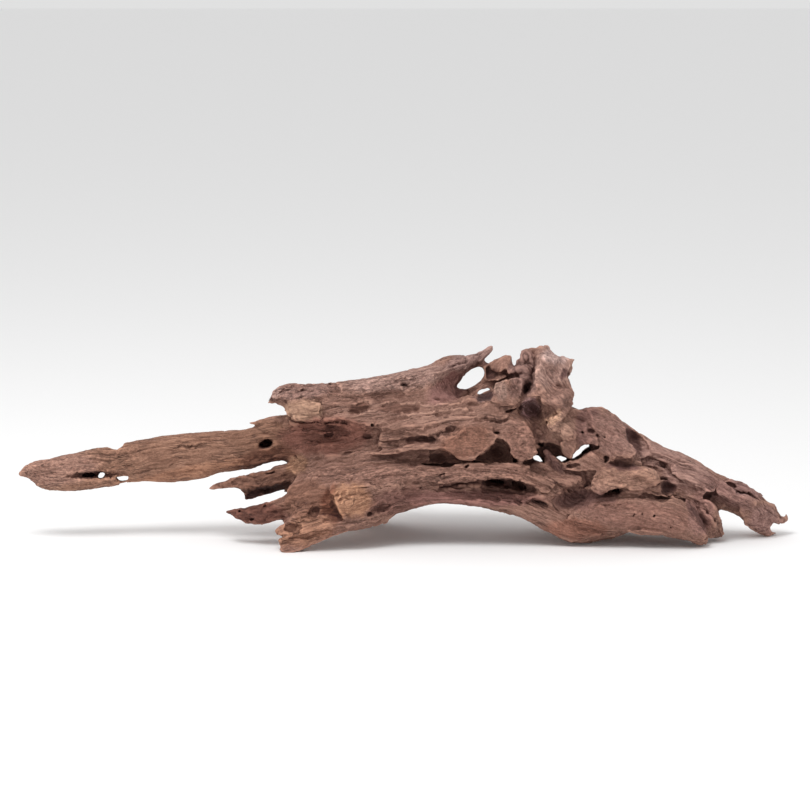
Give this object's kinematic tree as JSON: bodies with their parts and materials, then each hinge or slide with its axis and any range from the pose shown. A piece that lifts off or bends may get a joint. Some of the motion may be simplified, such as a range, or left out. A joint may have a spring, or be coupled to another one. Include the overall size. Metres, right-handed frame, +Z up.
{
  "type": "driftwood",
  "caption": "Weathered root wood with a long slim arm, a hollowed and bored middle, a burled crown and a falling crest, standing on its worn root feet.",
  "frame": {"origin": "centre of the bounding box's base, on the surface that the wood stands on", "axes": "+X along the wood from the long arm's tip to the crest's tips, +Y to its back, +Z up"},
  "size_m": [0.7748, 0.1739, 0.199],
  "materials": {
    "weathered_wood": "bare, dry and matt, silvered on worn edges and dark in the hollows"
  },
  "bodies": {
    "root": {"driftwood": "weathered_wood"}
  },
  "joints": []
}
